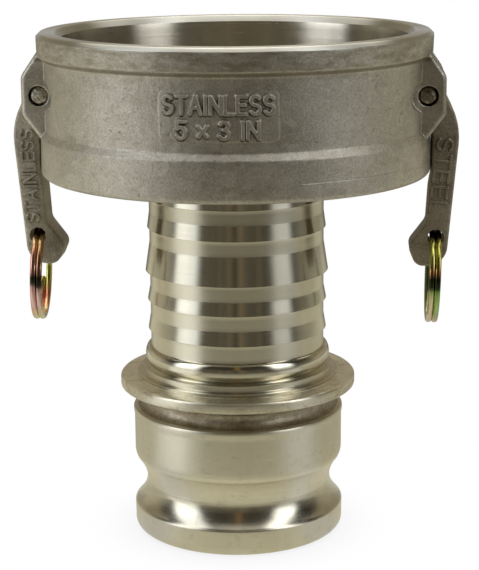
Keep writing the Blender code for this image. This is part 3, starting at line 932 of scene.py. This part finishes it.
def build_pad():
    """Cast plate on the front with the material and the two sizes in raised letters."""
    strokes = (moved(text_strokes("STAINLESS", height=8.2, length=44.0, stroke=1.5), 0.0, 4.35)
               + moved(text_strokes("5 x 3 IN", height=8.0, length=33.0, stroke=1.5), -0.3, -5.2))
    half_width, half_height, corner = 24.3, 10.6, 3.0
    middle_angle, middle_depth = radians(-90.0 - 0.75), 26.2

    def height_at(U, V):
        over_u = np.maximum(np.abs(U) - (half_width - corner), 0)
        over_v = np.maximum(np.abs(V) - (half_height - corner), 0)
        inside = corner - np.sqrt(over_u * over_u + over_v * over_v)
        inside = np.minimum(inside, np.minimum(half_width - np.abs(U), half_height - np.abs(V)))
        letters = 1.15 * smooth01((1.20 - distance(U, V, strokes)) / 0.62)
        return 0.20 * smooth01(inside / 1.6) + letters

    def to_world(u, v, height):
        angle = middle_angle + u / WAIST_R
        radius = WAIST_R + 0.03 + height
        return radius * cos(angle), radius * sin(angle), up(middle_depth - v)

    relief(25.5, 11.6, 0.20, height_at, to_world, 0.10, "coupler_marking", mark_look,
           "coupling")


# ------------------------------------------------------------------ arms
# x, depth, corner radius; follows the cam head, down the outside and back up the inside
HANDLE_OUTLINE = [
    (88.05, 24.6, 0), (88.3, 26.1, 0), (94.9, 39.3, 30.0), (89.6, 99.6, 8.6), (77.0, 100.0, 4.6),
    (73.5, 91.6, 4.5), (81.1, 81.4, 5.0), (82.0, 66.5, 20.0), (82.98, 60.3, 10.0),
    (82.98, 43.9, 3.0), (80.9, 38.0, 4.0)]
CAM_R, HEAD_R = 13.0, 7.2
# word, length, height, stroke, and the (x, depth) ends of its centre line on the +X arm
LONG_WORD = "STAINLESS", 40.6, 6.3, 0.90, (88.55, 41.6), (86.95, 81.6)
SHORT_WORD = "STEEL", 32.0, 7.2, 0.95, (88.6, 45.0), (85.6, 76.5)


def arm_outline():
    points = []
    for angle in range(-62, 173, 4):                # degrees from -X round the pin, over the top
        if angle < 0:
            radius = CAM_R - 2.4 * (angle / -62.0) ** 2
        elif angle < 95:
            part = angle / 95.0
            radius = CAM_R + (HEAD_R - CAM_R) * (part * part * (3 - 2 * part))
        else:
            radius = HEAD_R
        points.append((PIN_X - radius * cos(radians(angle)),
                       PIN_DEPTH - radius * sin(radians(angle)), 0))
    return rounded(points + HANDLE_OUTLINE, 12)


def build_arm(side):
    name = "arm_" + SIDE_NAME[side]
    arm = plate(arm_outline(), -ARM_HALF, ARM_HALF, side)
    bevel_rims(arm, [-ARM_HALF, ARM_HALF], offset=1.15, segments=4)
    bm = carve(arm, ('DIFFERENCE', rod(side * PIN_X, PIN_DEPTH, PIN_HOLE_R, 12.0)),
               ('DIFFERENCE', rod(side * EYE_X, EYE_DEPTH, 3.45, 12.0)))
    finish(bm, name, [arm_looks[side]], name, "cam_" + name, sharp=34.0)
    for facing, face in ((-1, "front"), (1, "back")):
        arm_word(side, facing, "%s_marking_%s" % (name, face))


def arm_word(side, facing, name):
    """A raised word on a flat side; one casting serves both arms, so the words swap over."""
    word, length, height, stroke, top, bottom = LONG_WORD if side == facing else SHORT_WORD
    strokes = text_strokes(word, height, length, stroke)
    (top_x, top_depth), (bottom_x, bottom_depth) = top, bottom
    span = hypot(bottom_x - top_x, bottom_depth - top_depth)
    along_x, along_depth = (bottom_x - top_x) / span, (bottom_depth - top_depth) / span
    middle_x, middle_depth = (top_x + bottom_x) / 2, (top_depth + bottom_depth) / 2

    def height_at(U, V):
        return 0.80 * smooth01((0.84 - distance(U, V, strokes)) / 0.46)

    def to_world(u, v, rise):
        # letter tops point away from the flow axis; the front reads up the left arm and
        # down the right one, the back the other way
        down = -side * facing * u
        x = middle_x + along_x * down + along_depth * v
        depth = middle_depth + along_depth * down - along_x * v
        return side * x, facing * (ARM_HALF + rise), up(depth)

    relief(length / 2 + 1.2, height / 2 + 1.2, 0.16, height_at, to_world, 0.05, name,
           arm_mark_looks[side], "arm_" + SIDE_NAME[side])


# ------------------------------------------------------------------ shank and adapter
FLOW_R, FIRST_ROOT_R, ROOT_R = 34.0, 37.3, 37.6
# (radius, depth) of the stepped shoulder, the flange and the neck below it
FLANGE = [
    (38.62, 144.1), (38.75, 144.35), (41.05, 144.5), (41.22, 144.66), (41.3, 146.75),
    (41.42, 146.92), (43.4, 147.15), (43.58, 147.4), (43.62, 148.75), (43.8, 148.88),
    (45.7, 148.9), (45.76, 148.98), (45.9, 148.98), (45.96, 148.9), (48.1, 148.9),
    (48.16, 148.96), (48.28, 148.96), (48.34, 148.9), (50.2, 148.9), (50.75, 149.1),
    (51.08, 149.5), (51.2, 150.0), (51.2, 152.7), (51.05, 153.25), (50.6, 153.65),
    (50.0, 153.8), (46.2, 153.85), (44.6, 154.2), (43.0, 155.1), (41.7, 156.4), (41.1, 158.0),
    (41.1, 159.4), (41.6, 160.9), (42.6, 162.0), (43.9, 162.75), (45.2, 163.1), (45.62, 163.3),
    (45.85, 163.75), (45.9, 164.4), (45.75, 165.6), (45.52, 166.7), (45.5, 167.5),
    (45.5, 182.6), (45.4, 183.4), (45.1, 184.6), (44.7, 185.6)]
GROOVE_TOP, GROOVE_END = (44.7, 185.6), (45.75, 206.6)
GROOVE_BOTTOM_R = 40.4
FOOT_R, FOOT_ROUND = 45.8, 3.8


def adapter_loop():
    out = [(FLOW_R, 53.6), (37.1, 53.6), (FIRST_ROOT_R, 53.8), (FIRST_ROOT_R, 64.9)]
    for top, crest, radius in BARBS:
        root = FIRST_ROOT_R if top < 70 else ROOT_R
        out += [(root, top - 0.02), (root + 0.02, top + 0.12), (radius - 0.02, crest - 0.12),
                (radius, crest), (radius - 0.06, crest + 0.08), (ROOT_R + 0.05, crest + 0.28),
                (ROOT_R, crest + 0.42)]
    out += [(ROOT_R, 135.4), (ROOT_R + 0.1, 135.9)]
    for i in range(15):                             # rounded bead above the shoulder
        angle = radians(72 - (72 + 68) * i / 14.0)
        out.append((37.9 + 2.2 * cos(angle), 139.8 - 4.1 * sin(angle)))
    out += FLANGE
    (top_r, top), (end_r, end) = GROOVE_TOP, GROOVE_END
    for i in range(1, 30):
        part = i / 30.0
        edge = top_r + (end_r - top_r) * part
        out.append((edge - (edge - GROOVE_BOTTOM_R) * sin(pi * part) ** 0.85,
                    top + (end - top) * part))
    out += [(45.72, 206.75), (45.85, 207.0), (45.9, 207.5), (45.85, 209.0),
            (FOOT_R, HEIGHT - 3.9)]
    for i in range(13):
        angle = radians(90.0 * i / 12)
        out.append((FOOT_R - FOOT_ROUND + FOOT_ROUND * cos(angle),
                    HEIGHT - FOOT_ROUND + FOOT_ROUND * sin(angle)))
    return out + [(35.3, HEIGHT), (34.1, HEIGHT - 1.1), (FLOW_R, HEIGHT - 1.4)]


def neck_wobble(radius, depth, angle):
    """Unevenness of the cast neck, and a little of the flange's rim."""
    if 153.9 < depth < 162.9 and radius < 45:
        point = Vector((cos(angle) * 3.0, sin(angle) * 3.0, depth * 0.3))
        return 0.16 * noise.noise(point * 2.0) + 0.08 * noise.noise(point * 7.0), 0.0
    if 150.0 < depth < 153.9 and radius > 46:
        point = Vector((cos(angle) * 5.0, sin(angle) * 5.0, depth * 0.3))
        return 0.04 * noise.noise(point * 2.5), 0.0
    return 0.0, 0.0


def build_adapter():
    bm = turned(densify(adapter_loop(), 1.6), 256, neck_wobble)
    for face in bm.faces:
        centre = face.calc_center_median()
        radius, depth = hypot(centre.x, centre.y), HEIGHT - centre.z
        face.material_index = int(153.75 < depth < 162.9 and 36 < radius < 50.3)
    finish(bm, "shank_adapter", [shank_look, neck_look], "coupling",
           "hose_shank_adapter", sharp=30.0)


# ------------------------------------------------------------------ gasket and welds
GASKET_INNER, GASKET_OUTER, GASKET_TOP, GASKET_END = 63.5, 75.7, 46.35, 52.7
RIBS_INNER, RIBS_OUTER = 65.5, 73.8
# radius, depth
OUTER_BEAD = [(37.7, 60.3), (42.8, 60.3), (42.4, 61.4), (41.7, 62.6), (40.8, 63.6),
              (39.7, 64.4), (38.6, 64.9), (37.7, 65.2)]
INNER_BEAD = [(35.0, 52.7), (35.3, 52.1), (36.0, 51.5), (36.9, 51.2), (37.7, 51.1),
              (38.6, 51.2), (39.5, 51.5), (40.1, 52.1), (40.4, 52.7)]


def build_gasket():
    profile = rounded([(GASKET_INNER, GASKET_TOP, 0.9), (GASKET_OUTER, GASKET_TOP, 0.9),
                       (GASKET_OUTER, GASKET_END, 0.7), (GASKET_INNER, GASKET_END, 0.7)], 5)
    loop = []
    for radius, depth in densify(profile, 0.8):
        if depth < 46.6 and RIBS_INNER < radius < RIBS_OUTER:   # two shallow sealing ribs
            across = (radius - RIBS_INNER) / (RIBS_OUTER - RIBS_INNER)
            depth = GASKET_TOP - 0.18 * abs(sin(across * pi * 2))
        loop.append((radius, max(depth, 46.1)))
    finish(turned(loop, 192), "gasket_ring", [gasket_look], "coupling", "gasket",
           sharp=40.0)


def build_weld(place, loop, outer):
    def ripple(radius, depth, angle):
        free = (depth > 60.4 and radius > 37.75) if outer else depth < 52.65
        if not free:
            return 0.0, 0.0
        rough = noise.noise(Vector((cos(angle) * 9, sin(angle) * 9, depth)))
        wave = sin(angle * 96 + 1.4 * sin(angle * 5)) + 0.5 * rough
        rise = 0.14 * wave - 0.10
        return (rise, rise) if outer else (0.0, -rise)

    finish(turned(loop, 768, ripple), "weld_" + place, [bead_look], "coupling",
           "weld_bead_" + place, sharp=70.0)


# ------------------------------------------------------------------ pins and pull rings
PIN_R, PIN_END_R, PIN_HALF, PIN_DOME = 3.85, 3.25, 19.3, 0.55
PIN_CENTRE = 19.85 * 0.998                          # shallow dimple in the end
RING_START, RING_END = 20.0, 642.0                  # degrees along the wire
RING_STEP, RING_TURN = 2.5, 88.0
JOG_START, JOG_END = 288.0, 334.0                   # where the wire crosses to its second turn
RING_R, RING_DROP = 19.2, 18.1
WIRE_SIDES, WIRE_HALF_X, WIRE_HALF_R = 20, 1.3, 1.2
TURN_OFFSET = 1.27                                  # each turn lies this far from the middle


def build_pin(side):
    name = SIDE_NAME[side]
    dome = [(PIN_END_R * sin(radians(i * 9.0)), PIN_HALF + PIN_DOME * cos(radians(i * 9.0)))
            for i in range(11)]
    shaft = rounded([(PIN_END_R, -PIN_HALF, 0), (PIN_R, -18.6, 0.25), (PIN_R, 18.6, 0.25),
                     (PIN_END_R, PIN_HALF, 0)], 6)[1:-1]
    profile = [(radius, -y) for radius, y in dome] + shaft + dome[::-1]
    bm = bmesh.new()
    rows = [circle(bm, side * PIN_X, PIN_DEPTH, radius, y, 64)
            for radius, y in densify(profile, 2.0) if radius > 0.2]
    skin(bm, rows)
    for row, y in ((rows[0], -PIN_CENTRE), (rows[-1], PIN_CENTRE)):
        centre = bm.verts.new((side * PIN_X, y, up(PIN_DEPTH)))
        for i in range(len(row)):
            bm.faces.new((row[i], row[(i + 1) % len(row)], centre))
    finish(bm, "pin_" + name, [pin_looks[side]], "coupling",
           "pivot_pin_" + name, sharp=40.0)


def build_ring(side):
    """Split ring of two turns of flattened wire, hung in the eye of an arm."""
    name = "ring_" + SIDE_NAME[side]
    steps = int(round((RING_END - RING_START) / RING_STEP))
    twist = (Matrix.Rotation(radians(1.8), 3, 'Y')
             @ Matrix.Rotation(radians(3.1 if side == LEFT else 0.0), 3, 'Z'))
    eye = Vector((side * EYE_X, 0, up(EYE_DEPTH)))
    bm = bmesh.new()
    rows = []
    for i in range(steps + 1):
        turn = RING_START + (RING_END - RING_START) * i / steps
        part = min(1.0, max(0.0, (turn - JOG_START) / (JOG_END - JOG_START)))
        x = TURN_OFFSET - 2 * TURN_OFFSET * (part * part * (3 - 2 * part))
        angle = radians(turn + RING_TURN)
        outward = Vector((0, sin(angle), cos(angle)))
        centre = Vector((side * x, 0, -RING_DROP)) + outward * RING_R
        # the cut ends are slightly rounded
        end = min(1.0, 0.55 + min(turn - RING_START, RING_END - turn) / 3.0 * 0.45)
        row = []
        for j in range(WIRE_SIDES):
            around = 2 * pi * j / WIRE_SIDES
            across, out = cos(around), sin(around)
            across = copysign(abs(across) ** 0.86, across) * WIRE_HALF_X * end
            out = copysign(abs(out) ** 0.90, out) * WIRE_HALF_R * end
            offset = centre + outward * out + Vector((side * across, 0, 0))
            row.append(bm.verts.new(eye + twist @ offset))
        rows.append(row)
    skin(bm, rows)
    bm.faces.new(rows[0])
    bm.faces.new(rows[-1])
    finish(bm, name, [ring_looks[side]], name, "pull_" + name, sharp=50.0)


build_body()
build_pad()
build_adapter()
build_gasket()
build_weld("outer", OUTER_BEAD, outer=True)
build_weld("inner", INNER_BEAD, outer=False)
for side in (LEFT, RIGHT):
    build_arm(side)
    build_pin(side)
    build_ring(side)


# ------------------------------------------------------------------ camera
CAMERA_REACH, CAMERA_RISE = 0.7347, 0.0626          # metres from the axis, above the top face
CAMERA_YAW, CAMERA_PITCH, CAMERA_ROLL = 0.087, -13.261, -0.47
CAMERA_LENS = 109.6105263


def build_camera():
    azimuth = radians(CAMERA_AZIMUTH)
    yaw = radians(-CAMERA_AZIMUTH + CAMERA_YAW)
    pitch, roll = radians(CAMERA_PITCH), radians(CAMERA_ROLL)
    forward = Vector((sin(yaw) * cos(pitch), cos(yaw) * cos(pitch), sin(pitch)))
    level = Vector((cos(yaw), -sin(yaw), 0.0))
    upright = level.cross(forward)
    right = level * cos(roll) + upright * sin(roll)
    top = -level * sin(roll) + upright * cos(roll)
    place = Vector((CAMERA_REACH * sin(azimuth), -CAMERA_REACH * cos(azimuth),
                    HEIGHT * MM + CAMERA_RISE))
    data = bpy.data.cameras.new("camera")
    data.sensor_fit = 'AUTO'
    data.sensor_width = 36.0
    data.lens = CAMERA_LENS
    data.clip_start, data.clip_end = 0.01, 50.0
    camera = bpy.data.objects.new("camera", data)
    bpy.context.scene.collection.objects.link(camera)
    camera.matrix_world = Matrix((right, top, -forward, place)).transposed().to_4x4() \
        if False else Matrix([(*axes, at) for *axes, at in zip(right, top, -forward, place)]
                             + [(0, 0, 0, 1)])
    bpy.context.scene.camera = camera


build_camera()

# ------------------------------------------------------------------ floor
FLOOR_Z = -0.0002
FLOOR_RADII = (0.05, 0.12, 0.3, 0.8, 2.0, 6.0)      # metres
FLOOR_SEGMENTS = 96


def floor_look():
    """White to the camera with a soft contact shade; to the metal, a table lit by the boxes."""
    look, tree = new_look("floor_pale")
    contact = node(tree, 'ShaderNodeAmbientOcclusion', {'Distance': 0.035}, output='AO',
                   samples=8)
    seen = times((1.0, 1.0, 1.0), grey(contact.line(0.25, 0.92, to=(0.87, 1.0))))
    grain = Place(tree).point.noise(scale=40.0, detail=3.0, rough=0.5)
    place = Place(tree)
    x, y, z = place.xyz
    far = place.radius
    turn = bearing(x, y)
    # bands are (from, to, softness) in degrees, steps run over metres from the axis
    left, right = turn.band(-92.0, -47.0, 11.0), turn.band(46.0, 84.0, 9.0)
    back_left = far.step(0.10, 0.45, to=(0.52, 0.72)) * far.step(0.80, 1.40, to=(1.0, 0.64))
    back_right = far.step(0.10, 0.45, to=(0.30, 0.64)) * far.step(0.80, 1.40, to=(1.0, 0.50))
    near_left = far.step(0.07, 0.24, to=(0.62, 1.18)) * far.step(0.75, 1.8, to=(1.0, 0.45))
    level = 0.74 / ((far / 0.34) ** 1.3 + 1.0)      # fades away from the object
    for patch in (turn.band(-152.0, -80.0, 12.0) * back_left,
                  turn.band(76.0, 152.0, 12.0) * back_right,
                  left * near_left,
                  right * far.step(0.35, 0.70, to=(0.68, 0.26))):
        level = calc('MAXIMUM', level, patch)
    warm = mix(calc('MAXIMUM', left, right), (1.0, 0.965, 0.79), (1.0, 1.0, 0.98))
    warm = mix(grain * 0.08, warm, (0.8, 0.8, 0.8))
    mirrored, shown = [node(tree, 'ShaderNodeEmission', (colour,))
                       for colour in (times(warm, grey(level)), seen)]
    shader = node(tree, 'ShaderNodeMixShader', (camera_ray(tree), mirrored, shown))
    node(tree, 'ShaderNodeOutputMaterial', (shader,))
    return look


def build_floor():
    bm = bmesh.new()
    centre = bm.verts.new((0, 0, FLOOR_Z))
    turns = [2 * pi * i / FLOOR_SEGMENTS for i in range(FLOOR_SEGMENTS)]
    rows = [[bm.verts.new((radius * cos(turn), radius * sin(turn), FLOOR_Z)) for turn in turns]
            for radius in FLOOR_RADII]
    for i in range(FLOOR_SEGMENTS):
        bm.faces.new((centre, rows[0][i], rows[0][(i + 1) % FLOOR_SEGMENTS]))
    for inner, outer in zip(rows[:-1], rows[1:]):
        for i in range(FLOOR_SEGMENTS):
            j = (i + 1) % FLOOR_SEGMENTS
            bm.faces.new((inner[i], outer[i], outer[j], inner[j]))
    floor = new_object(bm, "floor")
    floor.data.materials.append(floor_look())


build_floor()

# ------------------------------------------------------------------ studio light
# bearings and elevations in degrees: from, to, softness
LEFT_BOX, RIGHT_BOX, BOX_RISE = (-83.0, -50.0, 6.0), (46.0, 72.0, 6.0), (-28.0, 66.0, 6.0)
CAMERA_SIDE = (-46.0, 40.0, 8.0)
ROOM_COLOUR = (0.038, 0.034, 0.027)


def build_world():
    """A dark room with two tall soft boxes and a soft ceiling; white to the camera."""
    world = bpy.data.worlds.new("studio")
    bpy.context.scene.world = world
    world.use_nodes = True
    tree = world.node_tree
    tree.nodes.clear()
    x, y, z = node(tree, 'ShaderNodeTexCoord', output='Generated').separate()
    turn = bearing(x, y)
    rise = calc('ARCSINE', z) * DEGREES
    off = calc('ABSOLUTE', turn)
    # the boxes dim towards the table and towards the camera's side
    low_left = rise.line(-10.0, 35.0, to=(0.90, 1.0))
    low_right = rise.step(0.0, 45.0, to=(0.34, 1.0))
    in_left = turn.line(-80.0, -50.0, to=(1.26, 0.66))
    in_right = turn.line(47.0, 72.0, to=(0.76, 1.16))
    both = calc('MAXIMUM', turn.band(*LEFT_BOX) * 0.55, turn.band(*RIGHT_BOX) * 1.25)
    streaks = node(tree, 'ShaderNodeTexNoise', {
        'W': turn, 'Scale': 0.16, 'Detail': 4.0, 'Roughness': 0.65}, noise_dimensions='1D')
    room = streaks.step(0.38, 0.64, to=(0.15, 2.1))
    lights = (
        # behind the object: a warm grey wall, bright just above the table
        (off.step(98.0, 116.0) * rise.band(-30.0, 40.0, 10.0), (0.27, 0.235, 0.17)),
        (turn.band(-142.0, -88.0, 12.0) * rise.band(-30.0, 14.0, 8.0), (0.26, 0.26, 0.24)),
        (turn.band(80.0, 142.0, 12.0) * rise.band(-30.0, 14.0, 8.0), (0.12, 0.12, 0.108)),
        (off.step(138.0, 158.0) * rise.band(-6.0, 8.0, 3.0), (0.12, 0.15, 0.22)),
        (off.step(98.0, 114.0) * rise.step(33.0, 45.0), (1.35, 1.33, 1.27)),
        # soft boxes, and brighter parts of them
        (turn.band(*LEFT_BOX) * in_left * rise.band(*BOX_RISE) * low_left, (1.80, 1.89, 2.10)),
        (turn.band(*RIGHT_BOX) * in_right * rise.band(*BOX_RISE) * low_right,
         (2.15, 2.24, 2.42)),
        (both * rise.band(13.0, 36.0, 7.0), (1.15, 1.20, 1.30)),
        (turn.band(*RIGHT_BOX) * rise.band(48.0, 72.0, 8.0), (1.00, 1.03, 1.10)),
        # camera side: dark, with narrow warm reflections and faint streaks
        (turn.band(-11.5, -8.5, 1.2) * rise.band(-4.0, 14.0, 4.0), (0.075, 0.042, 0.012)),
        (turn.band(3.5, 7.0, 1.2) * rise.band(-4.0, 14.0, 4.0), (0.12, 0.070, 0.024)),
        (turn.band(-3.6, 3.0, 1.6) * rise.band(18.0, 58.0, 7.0), (0.22, 0.125, 0.040)),
        (turn.band(*CAMERA_SIDE) * rise.band(-4.0, 16.0, 6.0) * room, (0.088, 0.079, 0.064)),
        (turn.band(*CAMERA_SIDE) * rise.band(-6.0, 46.0, 6.0), (0.012, 0.010, 0.008)),
        # ceiling
        (rise.step(52.0, 72.0), (0.90, 0.89, 0.85)),
        (rise.step(68.0, 80.0), (0.80, 0.83, 0.88)))
    total = ROOM_COLOUR
    for mask, colour in lights:
        total = mix(1.0, total, mix(mask, (0.0, 0.0, 0.0), colour), 'ADD')
    shown = mix(camera_ray(tree), total, (1.0, 1.0, 1.0))
    node(tree, 'ShaderNodeOutputWorld', (node(tree, 'ShaderNodeBackground', (shown, 1.0)),))


build_world()

view = bpy.context.scene.view_settings
view.view_transform = 'Standard'
view.look = 'None'
view.exposure = 0.0
view.gamma = 1.0
